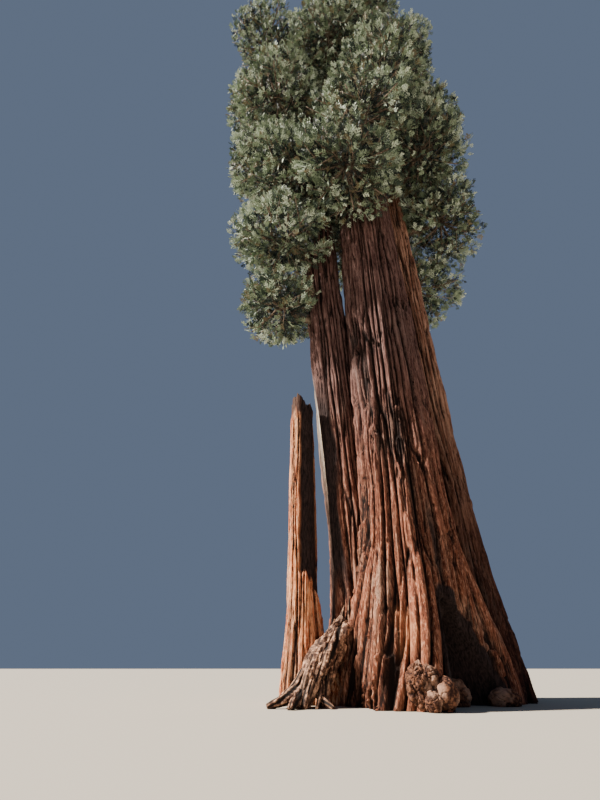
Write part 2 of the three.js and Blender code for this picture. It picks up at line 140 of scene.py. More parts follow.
# Knots of a burl: centre, half sizes, and how many lumps stand on it and how far.
BURLS = {
    "large": [
        ((-0.98, -2.98, 0.7), (0.38, 0.42, 0.56), 56, 0.34),
        ((-0.66, -3.12, 0.92), (0.27, 0.27, 0.27), 24, 0.34),
        ((-0.24, -3.1, 0.46), (0.4, 0.42, 0.45), 22, 0.12),
        ((-0.68, -3.3, 0.26), (0.26, 0.26, 0.28), 26, 0.32),
    ],
    "small": [((2.48, -0.78, 0.18), (0.54, 0.45, 0.36), 60, 0.14)],
    "hollow": [((0.74, -0.98, 0.3), (0.46, 0.42, 0.5), 44, 0.18)],
}

# A crown's masses climb through its heights and take the sectors (angle, sweep) in turn, with reach and size from the
# lowest to the highest. The top mass starts skirt below the trunk's tip.
CROWNS = [
    dict(stem="left", count=11, heights=(19.6, 57), climb=1.3, boughs=4, reach=(5.7, 9.2), size=(2.5, 4.4),
         top_width=3.3, skirt=3, sectors=[(192, 110)], open_above=66, phase=0.5),
    dict(stem="right", count=8, heights=(25.5, 55), climb=1, boughs=3, reach=(8.1, 8.2), size=(4.0, 4.2),
         top_width=3.1, skirt=3, sectors=[(2, 150)], open_above=62, phase=0.85),
    dict(stem="middle", count=13, heights=(27, 62.5), climb=1, boughs=5, reach=(8.7, 8.2), size=(4.2, 4.2),
         top_width=3.7, skirt=3.5, sectors=[(-88, 84), (98, 44)], open_above=60, phase=0.2),
]
OPEN_SECTOR = (258, 360)
GOLDEN_SHARE = 0.618
GOLDEN_TURN = 137.5
MASS_TALL = 0.9
BOUGH = dict(root=0.32, tip=0.17, rise=0.1, sag=0.25, start_out=0.3, inward=0.42, below=0.25)
MARGIN = 0.02
SIDE_UNEVEN = 2.0
SIDE_CELL = 2.6
LIMB_CLEAR = 0.05
STEM_BELOW = 0.45

# Growth within a mass: twigs from its middle, tufts along and beside them, and sprays in each tuft. A mass of
# FULL_SIZE has that many twigs.
FULL_SIZE = 4.2
TWIGS = 26
TWIG_REACH = 0.8
SIDE_TWIGS = (0.45, 0.62, 0.78)
SIDE_REACH = 0.4
LEAST_FIT = 0.3
TUFT_RADIUS = 0.72
SPRAYS = 25
SPRAY_LENGTH = 0.46

# A direction that no limb follows, from which directions across a limb are found.
SKEW = np.array([0.13, 0.29, 0.95])


def draw(k):
    """A repeatable number from 0 to 1 for a whole number: the part after the point of a large sine."""
    x = np.sin(np.asarray(k, float) * 12.9898 + 4.1414) * 43758.5453
    return x - np.floor(x)


def lattice(x, y, z):
    """A repeatable number from 0 to 1 for each whole-number point, by mixing its bits."""
    n = x.astype(np.int64) * 1619 + y.astype(np.int64) * 31337 + z.astype(np.int64) * 6971
    n &= 0x7FFFFFFF
    n = (n >> 13) ^ n
    n = (n * ((n * n * 60493 + 19990303) & 0x7FFFFFFF) + 1376312589) & 0x7FFFFFFF
    return n / 0x7FFFFFFF


def noise(x, y, z):
    """Smooth noise from 0 to 1: the draws at the eight lattice points round a place, blended by smooth steps."""
    place = np.stack(np.broadcast_arrays(x, y, z))
    base = np.floor(place)
    share = smooth_step(place - base, 0, 1)
    total = 0
    for corner in range(8):
        step = (corner & 1, corner >> 1 & 1, corner >> 2)
        weight = math.prod(s if up else 1 - s for s, up in zip(share, step))
        total = total + weight * lattice(*(b + up for b, up in zip(base, step)))
    return total


def around(angle, height, density, rise, seed):
    """Noise on a path round a stem, which closes on itself: density cells to the radian, rise to the metre."""
    turn = np.radians(angle)
    return noise(np.cos(turn) * density + 3.7 * seed, np.sin(turn) * density - 5.3 * seed, height * rise + seed)


def smooth_step(value, low, high):
    """0 below low, 1 above high, and a smooth rise between."""
    share = np.clip((value - low) / (high - low), 0, 1)
    return share * share * (3 - 2 * share)


def between(start, end, share):
    """A straight run from start at share 0 to end at share 1."""
    return start + (end - start) * share


def turn_between(a, b):
    """The difference between two angles, from -180 to 180."""
    return (a - b + 180) % 360 - 180


def bump(angle, at, width):
    """A bell curve of the turn from at."""
    return np.exp(-((turn_between(angle, at) / width) ** 2))


def outward(angle):
    """The level direction at an angle."""
    turn = np.radians(angle)
    return np.stack([np.cos(turn), np.sin(turn), 0 * turn], -1)


def on_ball(turn, rise):
    """The direction at a turn in radians that rises by rise: its level part is the root of 1 - rise * rise."""
    flat = np.sqrt(1 - rise**2)
    return np.stack(np.broadcast_arrays(flat * np.cos(turn), flat * np.sin(turn), rise), -1)


def axis_at(stem, height):
    """The axis at a height: foot plus drift times 1 - exp(-height / drift_over)."""
    height = np.asarray(height, float)
    moved = 1 - np.exp(-height / stem["drift_over"])
    (x, y), (dx, dy) = stem["foot"], stem["drift"]
    return np.stack([x + dx * moved, y + dy * moved, height], -1)


def scar_share(scar, angle, height):
    """How deep inside a scar a place is, from 0 at its edges to 1: its edges bend from the ground to its top."""
    share = np.clip(height / scar["top"], 0, 1)
    left, right = (low + turn_between(top, low) * share**SCAR_BEND for low, top in (scar["left"], scar["right"]))
    inside = np.minimum(turn_between(angle, left), turn_between(right, angle)) / SCAR_EDGE
    return np.clip(inside, 0, 1) * (1 - share**3)


def stem_radius(stem, angle, height):
    """The column's taper, plus flutes, plus the flare and its lobes that die out above the foot, less the scar."""
    share = np.clip(height / stem["height"], 0, 1)
    column = stem["girth"] * (1 - share**2.2) ** 0.8
    lobes = stem["flare"] + sum(reach * bump(angle, at, width) for at, width, reach in stem["lobes"])
    flute = stem["flute_depth"] * np.cos(stem["flutes"] * np.radians(angle)) * np.exp(-height / FLUTE_RISE)
    foot = lobes * np.exp(-((height / stem["flare_rise"]) ** 2))
    return column * (1 + flute) + foot - stem["scar"]["depth"] * scar_share(stem["scar"], angle, height)


def furrows(angle, height, count, width, run, wander, seed):
    """Furrows from 0 on a ridge to 1 in a furrow's bed. count of them go round, each wanders sideways by noise,
    is width of a ridge wide, and fades in and out over run metres of height."""
    side = wander * (around(angle, height, 1.5, 1 / 7, seed) - 0.5)
    side = side + 0.2 * wander * (around(angle, height, 5, 1 / 2.4, seed + 1) - 0.5)
    place = count * angle / 360 + side
    nearest = np.round(place)
    bed = np.clip(1 - np.abs(place - nearest) * 2 / width, 0, 1)
    strength = noise((nearest % count) * 7.31 + seed, height / run, seed + 0.5)
    return bed**1.3 * smooth_step(strength, 0.12, 0.6)


def braided(angle, height, across, along, seed):
    """Furrows that part and meet again: places where noise, stretched along the stem, crosses its middle value.
    across and along are the sizes of one cell in metres at a radius of one metre."""
    shift = 3 * (around(angle, height, 2.5, 1 / 3, seed + 3) - 0.5)
    value = around(angle, height + shift, 1 / across, 1 / along, seed)
    # Where the crossing would run across the stem, its slope up the stem is the larger one, and it fades out.
    sideways = np.abs(np.roll(value, -1, 1) - np.roll(value, 1, 1)) * value.shape[1] / (4 * math.pi)
    upwards = np.abs(np.gradient(value, axis=0) / np.gradient(height, axis=0))
    upright = smooth_step(sideways / (sideways + 3 * upwards + 1e-6), 0.25, 0.55)
    return np.clip(1 - np.abs(value - 0.5) * 7, 0, 1) * upright


def bark_relief(angle, height, radius, girth, ridges, seed):
    """Bark in layers: main furrows, braided ones between them, cracks and flakes, sized for a stem of that girth.
    Returns how far the surface stands out, in metres, and how deep in a furrow it lies, from 0 to 1."""
    main = furrows(angle, height, ridges, 0.55, 7.0, 1.7, seed)
    braid = braided(angle, height, 0.42 / girth, 3.4, seed + 10)
    fine = braided(angle, height, 0.2 / girth, 1.5, seed + 20)
    crack = furrows(angle, height, int(ridges * 3.1), 0.7, 0.9, 3.4, seed + 30)
    flake = around(angle, height, girth / 0.13, 1 / 0.8, seed + 40) - 0.5
    swell = around(angle, height, girth / 0.55, 1 / 2.0, seed + 50) - 0.5
    size = np.clip(radius / 1.3, 0.25, 1.25) * (1 + 0.25 * np.exp(-((height / 2.5) ** 2)))
    depth = np.maximum(main, 0.8 * braid)
    chip = around(angle, height, girth / 0.075, 1 / 0.45, seed + 60) - 0.5
    r = RELIEF
    small = np.minimum(size, 1) * ((r["flake"] * flake + r["chip"] * chip) * (1 - depth) - r["crack"] * crack)
    out = size * (r["swell"] * swell - r["furrow"] * depth - r["fine"] * fine) + small + r["base"]
    return out, np.clip(0.85 * depth + 0.3 * fine + 0.35 * crack, 0, 1)


def closed_faces(rows, columns):
    """Triangles of a grid of corners whose columns close on themselves, seen from outside: two to each cell, and a
    fan at each end to a middle corner that follows the grid's own."""
    row, column = np.meshgrid(np.arange(rows - 1), np.arange(columns), indexing="ij")
    a = row * columns + column
    b = row * columns + (column + 1) % columns
    c, d = b + columns, a + columns
    ring = np.arange(columns)
    after = (ring + 1) % columns
    top, middle = (rows - 1) * columns, np.full(columns, rows * columns)
    fans = [np.stack([after, ring, middle], -1), np.stack([ring + top, after + top, middle + 1], -1)]
    return np.concatenate([np.stack([a, b, c], -1).reshape(-1, 3), np.stack([a, c, d], -1).reshape(-1, 3), *fans])


def capped(points, **values):
    """Closes a grid of corners (rows, columns, 3) with a fan to the middle of its first and last rows."""
    middles = np.stack([points[0].mean(0), points[-1].mean(0)])
    corners = np.concatenate([points.reshape(-1, 3), middles])
    ends = {k: np.concatenate([v.ravel(), [v[0].mean(), v[-1].mean()]]) for k, v in values.items()}
    return corners, closed_faces(*points.shape[:2]), ends


def add_piece(name, points, faces, values, look, slot, nodes, smooth=True, rim=0):
    """A mesh from arrays: corners in real metres, triangles, and a number at each corner for each attribute. Where
    its first and last rows have rim corners, their edges are sharp, so that a closing cap doesn't shade the side."""
    mesh = bpy.data.meshes.new(name)
    mesh.vertices.add(len(points))
    mesh.vertices.foreach_set("co", (points * SCALE).astype(np.float32).ravel())
    mesh.loops.add(faces.size)
    mesh.loops.foreach_set("vertex_index", faces.astype(np.int32).ravel())
    mesh.polygons.add(len(faces))
    mesh.polygons.foreach_set("loop_start", np.arange(len(faces), dtype=np.int32) * 3)
    mesh.polygons.foreach_set("use_smooth", np.full(len(faces), smooth))
    for key, numbers in values.items():
        mesh.attributes.new(key, "FLOAT", "POINT").data.foreach_set("value", numbers.astype(np.float32))
    mesh.update(calc_edges=True)
    if rim:
        ends = np.zeros(len(mesh.edges) * 2, np.int32)
        mesh.edges.foreach_get("vertices", ends)
        past = len(points) - 2
        on_rim = (ends < rim) | ((ends >= past - rim) & (ends < past))
        sharp = on_rim.reshape(-1, 2).all(1)
        mesh.attributes.new("sharp_edge", "BOOLEAN", "EDGE").data.foreach_set("value", sharp)
    mesh.materials.append(look)
    piece = bpy.data.objects.new(name, mesh)
    bpy.context.scene.collection.objects.link(piece)
    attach(piece, "root")
    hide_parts(*nodes)


def joined(parts):
    """Several (points, faces, values) as one."""
    starts = np.cumsum([0] + [len(points) for points, _, _ in parts[:-1]])
    points = np.concatenate([points for points, _, _ in parts])
    faces = np.concatenate([faces + start for (_, faces, _), start in zip(parts, starts)])
    values = {key: np.concatenate([v[key] for _, _, v in parts]) for key in parts[0][2]}
    return points, faces, values


def repeated(faces, count, corners):
    """The faces of count equal parts that follow one another, each with so many corners."""
    return (faces + np.arange(count)[:, None, None] * corners).reshape(-1, 3)


def size_of(vectors):
    """The length of each vector, as a column."""
    return np.linalg.norm(vectors, axis=-1, keepdims=True)


def unit(vectors):
    """Vectors brought to length 1."""
    return vectors / np.maximum(size_of(vectors), 1e-9)


def aside(way):
    """Two directions at right angles to each way."""
    side = unit(np.cross(way, SKEW))
    return side, np.cross(way, side)


# Materials


def srgb(colour):
    """A colour from 0 to 255 a channel, as the linear colour that a shader reads."""
    share = np.array(colour) / 255
    linear = np.where(share <= 0.04045, share / 12.92, ((share + 0.055) / 1.055) ** 2.4)
    return (*linear.tolist(), 1.0)


class Look:
    """A material's node tree, with a short call for each kind of node."""

    def __init__(self, name, roughness, specular):
        self.material = bpy.data.materials.new(name)
        self.material.use_nodes = True
        self.tree = self.material.node_tree
        self.shader = self.tree.nodes["Principled BSDF"]
        self.shader.inputs["Roughness"].default_value = roughness
        self.shader.inputs["Specular IOR Level"].default_value = specular

    def put(self, socket, value):
        """Links a node's output to a socket, or sets the socket to a value."""
        if isinstance(value, bpy.types.NodeSocket):
            self.tree.links.new(value, socket)
        else:
            socket.default_value = value

    def node(self, kind, inputs, output, **settings):
        """A new node with its settings and inputs. Returns the output asked for."""
        node = self.tree.nodes.new(kind)
        for key, value in settings.items():
            setattr(node, key, value)
        for key, value in inputs.items():
            self.put(node.inputs[key], value)
        return node.outputs[output]

    def attribute(self, name):
        """A number that the mesh carries at each corner."""
        return self.node("ShaderNodeAttribute", {}, "Fac", attribute_name=name)

    def place(self):
        """Object coordinates, in the model's metres."""
        return self.node("ShaderNodeTexCoord", {}, "Object")

    def rise(self):
        """The height, in the model's metres."""
        return self.node("ShaderNodeSeparateXYZ", {0: self.place()}, "Z")

    def noise(self, scale, detail=3.0, roughness=0.55):
        """Noise on Object coordinates stretched by scale along x, y and z."""
        place = self.node("ShaderNodeMapping", {"Vector": self.place(), "Scale": scale}, "Vector")
        inputs = {"Vector": place, "Scale": 1.0, "Detail": detail, "Roughness": roughness}
        return self.node("ShaderNodeTexNoise", inputs, "Fac")

    def span(self, value, low, high, most=1.0):
        """value brought from low..high to 0..most by a smooth step, and kept there."""
        inputs = {"Value": value, "From Min": low, "From Max": high, "To Max": most}
        return self.node("ShaderNodeMapRange", inputs, "Result", interpolation_type="SMOOTHSTEP")

    def times(self, a, b):
        """a multiplied by b."""
        return self.node("ShaderNodeMath", {0: a, 1: b}, 0, operation="MULTIPLY")

    def plus(self, a, b):
        """a added to b."""
        return self.node("ShaderNodeMath", {0: a, 1: b}, 0, operation="ADD")

    def mix(self, share, a, b):
        """Colour a where share is 0, and b where it is 1. A colour is an output or three numbers up to 255."""
        a, b = (srgb(colour) if isinstance(colour, tuple) else colour for colour in (a, b))
        return self.node("ShaderNodeMix", {0: share, 6: a, 7: b}, 2, data_type="RGBA")

    def finish(self, colour, height=None, distance=0.01, strength=0.6):
        """The material with its colour, and a bump by height."""
        self.put(self.shader.inputs["Base Color"], colour)
        if height is not None:
            inputs = {"Strength": strength, "Distance": distance, "Height": height}
            self.put(self.shader.inputs["Normal"], self.node("ShaderNodeBump", inputs, "Normal"))
        return self.material


def bark_look(name, ridge, rust, pale, grey, bed, high):
    """Fibrous bark: ridges streaked between two reds, with pale flakes and dark flecks, weathered grey in places,
    dark in the furrows as painted shade with some dirt, between the two colours high further up, and with charred,
    bleached and rubbed places and painted shade from the mesh's attributes."""
    look = Look(name, 0.95, 0.2)
    streak = look.noise((13, 13, 1.1), 5.0, 0.65)
    patch = look.noise((1.3, 1.3, 0.35))
    flake = look.noise((30, 30, 6.5), 5.0, 0.7)
    fibre = look.noise((62, 62, 3.5), 4.0, 0.65)
    colour = look.mix(look.span(streak, 0.36, 0.64), rust, ridge)
    worn = look.times(look.span(streak, 0.42, 0.6), look.span(patch, 0.5, 0.66, 0.75))
    colour = look.mix(worn, colour, grey)
    colour = look.mix(look.span(flake, 0.5, 0.68, 0.8), colour, pale)
    up = look.span(look.rise(), 1.5, 9)
    # Further up, the colour goes over to the two colours high: painted shade of the crown on the sequoia bark,
    # painted light on the right stem's bark.
    colour = look.mix(look.times(up, 0.85), colour, look.mix(look.span(streak, 0.38, 0.62), *high))
    flecks = look.times(look.span(fibre, 0.5, 0.34, 0.75), look.span(up, 1.67, 0))
    colour = look.mix(flecks, colour, bed)
    # Painted shade, with some dirt: the deeper in a furrow, the nearer the colour comes to bed.
    deep = look.plus(look.attribute("furrow"), look.span(flake, 0.5, 0.36, 0.35))
    colour = look.mix(look.span(deep, 0.22, 0.85), colour, bed)
    # The char colours serve for char and also for painted shade in and beside the middle trunk's hollow.
    for mark, shade, dark, light in (
        ("rubbed", look.span(flake, 0.4, 0.62), (142, 84, 56), (196, 138, 102)),
        ("bleached", look.span(fibre, 0.35, 0.65), (176, 160, 142), (228, 214, 196)),
        ("char", look.span(flake, 0.35, 0.65), (18, 13, 14), (62, 48, 46)),
    ):
        colour = look.mix(look.attribute(mark), colour, look.mix(shade, dark, light))
    return look.finish(colour, look.plus(flake, look.times(fibre, 0.8)), 0.03, 0.8)


def root_look():
    """Bare wood: grey and tan grain, with painted shade in its cracks and between its knobs."""
    look = Look("bare_root_wood", 0.85, 0.3)
    grain = look.noise((11, 11, 11), 6.0, 0.7)
    patch = look.noise((1.8, 1.8, 1.8))
    colour = look.mix(look.span(grain, 0.44, 0.68), (66, 38, 26), (224, 172, 138))
    colour = look.mix(look.span(patch, 0.45, 0.62, 0.3), colour, (140, 112, 92))
    # Painted shade: darker in the grooves and cracks and between knobs, by the furrow attribute.
    colour = look.mix(look.span(look.attribute("furrow"), 0.05, 0.6), colour, (18, 10, 7))
    return look.finish(colour, grain, 0.02, 0.6)


def burl_look():
    """Burl bark: brown lumps with tan tops, and painted shade in the creases."""
    look = Look("burl_bark", 0.9, 0.25)
    speck = look.noise((16, 16, 16), 5.0, 0.7)
    patch = look.noise((2.2, 2.2, 2.2))
    colour = look.mix(look.span(speck, 0.42, 0.62), (48, 26, 20), (124, 82, 60))
    colour = look.mix(look.span(patch, 0.5, 0.64, 0.7), colour, (176, 138, 116))
    # Painted shade in the creases between lumps.
    colour = look.mix(look.span(look.attribute("furrow"), 0.25, 1.0, 0.85), colour, (20, 11, 8))
    return look.finish(colour, speck, 0.02, 0.7)


def foliage_look(name, colour, edge):
    """Foliage of one tint, varied a little from place to place."""
    look = Look(name, 0.62, 0.3)
    return look.finish(look.mix(look.span(look.noise((6, 6, 6), 2.0), 0.35, 0.65), colour, edge))


# Each bark's ridge, rust, pale, grey and bed, and its two colours high up.
# The sequoia bark's colours high up are darker and greyer, as painted shade of the crown.
BARK = bark_look("sequoia_bark", (154, 92, 66), (98, 52, 37), (214, 160, 130), (140, 118, 102), (22, 12, 10),
                 ((70, 49, 48), (116, 92, 89)))
# A darker copy of the sequoia bark, as painted shade on the right stem low down; its lighter colours high up are
# painted light.
RIGHT_BARK = bark_look("right_stem_bark", (82, 46, 36), (50, 26, 21), (116, 80, 65), (82, 66, 58), (15, 8, 7),
                       ((124, 80, 62), (190, 146, 124)))
DEAD_BARK = bark_look("broken_stem_bark", (240, 160, 108), (176, 94, 60), (250, 208, 170), (196, 164, 138),
                      (30, 14, 11), ((168, 100, 70), (226, 168, 128)))
LIMB_BARK = bark_look("limb_bark", (128, 110, 94), (92, 74, 60), (170, 156, 140), (134, 124, 112), (40, 31, 27),
                      ((92, 76, 64), (150, 134, 118)))
ROOT_WOOD = root_look()
BURL_BARK = burl_look()
# Each tint's two colours and its share of the sprays, from the darkest to the palest. Sprays take them in order of
# tone, so the darkest are mostly painted shade deep in the masses, and the palest mostly painted highlights outside.
TINTS = {
    "shade_green": ((19, 27, 29), (29, 39, 38), 0.2),
    "deep_green": ((42, 57, 52), (54, 69, 57), 0.19),
    "olive_brown": ((118, 108, 82), (99, 95, 72), 0.09),
    "olive_green": ((94, 109, 86), (82, 98, 76), 0.19),
    "fresh_green": ((133, 148, 123), (118, 135, 109), 0.2),
    "pale_green": ((184, 196, 178), (160, 175, 154), 0.13),
}


# Trunks


def band(height, mark):
    """1 between where a mark starts and where it ends, with smooth edges."""
    return smooth_step(height, *mark["start"]) * (1 - smooth_step(height, *mark["end"]))


def mark_share(mark, angle, height):
    """How much of a mark a place has: a bell curve round the mark's angle, within its band."""
    return bump(angle, mark["at"], mark["width"]) * band(height, mark)


def stem_marks(name, angle, height):
    """Where a stem is charred, with painted shade at the middle trunk's hollow, bleached and rubbed, each from 0 to
    1: its scar and its marks, with edges that noise makes ragged."""
    # On the middle trunk the hollow and its edges are dark: char together with painted shade.
    inside = scar_share(HOLLOW_SOOT_AND_SHADE if name == "middle" else STEMS[name]["scar"], angle, height)
    ragged = around(angle, height, 4, 1 / 1.5, 71) - 0.5
    char = smooth_step(inside + 0.3 * ragged, 0.1, 0.28)
    bleached = rubbed = np.zeros(char.shape)
    if name == "middle":
        # Painted shade of the groove above the hollow, carried in the char mask.
        char = np.maximum(char, mark_share(GROOVE_SHADE, angle, height))
        patch = around(angle, height, 5, 1 / 0.7, 72) - 0.5
        rubbed = 0.75 * smooth_step(mark_share(RUBBED_PATCH, angle, height) + 0.7 * patch, 0.25, 1.0)
    if name == "left":
        burnt = smooth_step(bump(angle, LEFT_BURN["at"], LEFT_BURN["width"]) + 0.5 * ragged, 0.35, 0.6)
        bleached = mark_share(BLEACHED_STRIP, angle, height)
        char = np.maximum(char, burnt * band(height, LEFT_BURN)) * (1 - bleached)
    return dict(char=char, bleached=bleached, rubbed=rubbed)


def stem_surface(name, columns, rows, low, high, spacing, ridges, seed):
    """One stem's bark from low to high: a grid of angle and height at the stem's radius plus the bark's relief.
    Rows lie closer together near the foot by the power spacing."""
    stem = STEMS[name]
    share = np.linspace(low ** (1 / spacing), high ** (1 / spacing), rows) ** spacing
    height, fold = np.meshgrid(share, np.arange(columns) * 360 / columns - 180, indexing="ij")
    # The folds of the foot sweep out to the left as they come down, and the grid's columns follow them.
    angle = fold
    for _ in range(6):
        near = smooth_step(np.abs(turn_between(angle, SWEEP["at"])), SWEEP["far"], SWEEP["near"])
        angle = fold - SWEEP["turn"] * near * np.exp(-height / SWEEP["rise"])
    radius = stem_radius(stem, angle, height)
    relief, furrow = bark_relief(fold, height, radius, stem["girth"], ridges, seed)
    marks = stem_marks(name, angle, height)
    if name == "right":
        # Its side towards the middle trunk's hollow is burnt with it, and dark there as painted shade of the hollow.
        away = axis_at(stem, height) + outward(angle) * radius[..., None] - axis_at(STEMS["middle"], height)
        turn = np.degrees(np.arctan2(away[..., 1], away[..., 0]))
        burnt = smooth_step(scar_share(STEMS["middle"]["scar"], turn, height), 0.1, 0.6)
        marks["char"] = np.maximum(marks["char"], burnt)
    inside = smooth_step(scar_share(stem["scar"], angle, height), 0.05, 0.6)
    # The relief is shallower in the scar, and a little on rubbed bark and on charred bark and painted shade.
    calm = (1 - 0.15 * marks["rubbed"]) * (1 - 0.9 * inside) * (1 - 0.3 * marks["char"])
    points = axis_at(stem, height) + outward(angle) * (radius + relief * calm)[..., None]
    return capped(points, furrow=furrow * calm, **marks)


def add_trunks():
    """The three living stems. The middle one is in two pieces, one above the other, that meet at a seam."""
    seam = 11.0
    tip = {name: stem["tip_at"] for name, stem in STEMS.items()}
    for name, stem, columns, *grid in (
        ("middle_trunk_foot", "middle", 460, 214, 0, seam, 1.35, 38, 1),
        ("middle_trunk_column", "middle", 360, 210, seam, tip["middle"], 1.6, 38, 1),
        ("right_trunk_bark", "right", 250, 260, 0, tip["right"], 1.7, 27, 2),
        ("left_trunk_bark", "left", 230, 250, 0, tip["left"], 1.7, 23, 3),
    ):
        # The right stem takes its bark with painted shade low down and painted light high up.
        look = RIGHT_BARK if stem == "right" else BARK
        add_piece(name, *stem_surface(stem, columns, *grid), look, "bark", [f"{stem}_trunk"], rim=columns)


add_trunks()


# Broken stem, bare root and burls


def burnt_share(angle, height):
    """Where the broken stem's burnt face is, from 0 to 1. Its low edge falls away to the right, and a ragged noise
    moves its edges."""
    share = np.clip((angle - BURNT["left"]) / BURNT["fall_over"], 0, 1.3)
    low = BURNT["low"] - BURNT["fall"] * share**2.2 + 0.5 * (around(angle, height, 6, 0, 83) - 0.5)
    ragged = 8 * (around(angle, height, 3, 1 / 0.5, 84) - 0.5)
    side = np.minimum(angle + ragged - BURNT["left"], BURNT["right"] - angle + ragged) / BURNT["edge"]
    return np.clip(side, 0, 1) * smooth_step(height, low, low + 0.25)


def broken_top(angle):
    """The height of the torn rim: tallest on one side, with splinters by noise."""
    b = BROKEN
    torn = b["torn_height"] * (1 - smooth_step(bump(angle, b["torn_at"], b["torn_width"]), 0.1, 0.7))
    splinter = around(angle, 0, 5, 1, 81) + 0.8 * around(angle, 0, 14, 1, 82)
    return b["height"] - torn - b["ragged"] * splinter


def broken_radius(angle, height):
    """The broken stem's taper, flare and spur, as in the frame."""
    b = BROKEN
    column = between(b["girth"], b["top_girth"], np.clip(height / (0.92 * b["height"]), 0, 1) ** (2 / 3))
    spur = b["spur"] * bump(angle, b["spur_at"], b["spur_width"]) * np.exp(-((height / b["spur_rise"]) ** 2))
    return column + b["flare"] * np.exp(-((height / b["flare_rise"]) ** 2)) + spur


def add_broken_stem():
    """The snapped stem: bark outside, a burnt flat face, and a torn shell of wood round a rotten middle."""
    columns, rows = 210, 220
    angle = np.arange(columns) * 360 / columns - 180
    height = np.linspace(0, 1, rows)[:, None] ** 1.25 * broken_top(angle)
    angle = np.broadcast_to(angle, height.shape)
    radius = broken_radius(angle, height)
    relief, furrow = bark_relief(angle, height, radius, BROKEN["girth"], 13, 4)
    burnt = burnt_share(angle, height)
    bare = smooth_step(height + 0.9 * around(angle, height, 4, 0.3, 85), *BARE_FROM)
    calm = 1 - 0.85 * np.maximum(burnt, 0.8 * bare)
    out = radius + relief * calm - BURNT["depth"] * burnt
    points = [outward(angle) * out[..., None] + np.array([0, 0, 1.0]) * height[..., None]]
    marks = [(furrow * calm, np.maximum(burnt, 0.92 * bare))]
    edge = points[0][-1]
    for inward, drop in TORN_RINGS:
        ring = edge * np.array([inward, inward, 1])
        ring[:, 2] -= drop * (1 + 0.5 * around(angle[0], 0, 7, 1, 86))
        points.append(ring[None])
        marks.append((np.full((1, columns), 0.4), np.full((1, columns), 0.75)))
    points = np.concatenate(points) + np.array([*BROKEN["foot"], 0])
    furrow, char = (np.concatenate(v) for v in zip(*marks))
    none = np.zeros(char.shape)
    surface = capped(points, furrow=furrow, char=char, bleached=none, rubbed=none)
    add_piece("broken_stem", *surface, DEAD_BARK, "dead_bark", ["broken_trunk"])


def smooth_path(corners, share):
    """A curve through its corners, with each corner's slope taken from its neighbours."""
    corners = np.array(corners, float)
    knots = np.append(0, np.cumsum(np.sqrt(np.linalg.norm(np.diff(corners, axis=0), axis=1))))
    slope = np.gradient(corners, knots, axis=0)
    place = np.asarray(share) * knots[-1]
    k = np.clip(np.searchsorted(knots, place, side="right") - 1, 0, len(corners) - 2)
    span = (knots[k + 1] - knots[k])[:, None]
    s = ((place - knots[k]) / span[:, 0])[:, None]
    return ((2 * s**3 - 3 * s**2 + 1) * corners[k] + (s**3 - 2 * s**2 + s) * span * slope[k]
            + (3 * s**2 - 2 * s**3) * corners[k + 1] + (s**3 - s**2) * span * slope[k + 1])


def woody_limb(corners, start, end, columns, rows, twist, ridges, seed, flatness=1.0, belly=0.0):
    """A bare limb: a tapering section carried along a path, wider by belly at its middle, with ridges that turn by
    twist along it, and swellings. Points that would lie below the ground are brought up to it."""
    share = np.linspace(0, 1, rows)
    path = smooth_path(corners, share)
    side, rise = aside(unit(np.gradient(path, axis=0)))
    angle = np.arange(columns) * 360 / columns
    turned = angle[None] + twist * share[:, None] * 360
    height = np.broadcast_to(share[:, None] * size_of(np.diff(path, axis=0)).sum(), turned.shape)
    groove = furrows(turned, height, ridges, 0.8, 2.2, 0.7, seed)
    fine = furrows(turned, height, ridges * 3, 0.8, 0.7, 1.5, seed + 1)
    swell = around(turned, height, 1.6, 1 / 0.7, seed + 2) - 0.5
    radius = between(start, end, share[:, None]) + belly * np.sin(math.pi * share)[:, None]
    knobs = around(turned, height, 4, 1 / 0.22, seed + 3) - 0.5
    radius = radius * (1 - 0.24 * groove - 0.08 * fine + 0.5 * swell + 0.22 * knobs)
    turn = np.radians(np.broadcast_to(angle, radius.shape))
    points = (path[:, None] - side[:, None] * (radius * np.cos(turn))[..., None]
              - rise[:, None] * (radius * flatness * np.sin(turn))[..., None])
    points[..., 2] = np.maximum(points[..., 2], 0)
    return capped(points, furrow=np.clip(groove + 0.25 * fine - 0.5 * knobs, 0, 1))


def add_root():
    """The bare root, its toes on the ground and splinters at its top."""
    end = ROOT["end_width"]
    parts = [woody_limb(ROOT["path"], end, end, 110, 140, 0.3, 6, 50, ROOT["flatness"], ROOT["width"] - end)]
    parts += [woody_limb(*strand, 60, 110, 0.6, 5, 110 + 7 * k, 0.85) for k, strand in enumerate(ROOT_STRANDS)]
    parts += [woody_limb(*toe, 36, 40, 0.3, 4, 60 + 5 * k) for k, toe in enumerate(ROOT_TOES)]
    add_piece("root_wood", *joined(parts), ROOT_WOOD, "bare_wood", ["bare_root"])


def lump_caps(ball, lumps, seed):
    """Round caps spread evenly over a ball. Returns the highest cap at each place, and how near a crease it is."""
    k = np.arange(lumps)
    rise = 1 - 2 * (k + 0.5) / lumps
    seeds = on_ball(np.radians(k * GOLDEN_TURN) + 0.9 * draw(k + seed) / np.sqrt(1 - rise**2), rise)
    size = 2.7 / math.sqrt(lumps) * (0.75 + 0.7 * draw(k + seed + 40))
    away = np.linalg.norm(ball[:, :, None] - seeds, axis=-1) / size
    caps = np.sqrt(np.clip(1 - away**2, 0, 1)) * (0.55 + 0.6 * draw(k + seed + 80))
    top = np.sort(caps, axis=-1)[..., -2:]
    return top[..., 1], np.clip(1 - (top[..., 1] - top[..., 0]) * 7, 0, 1)


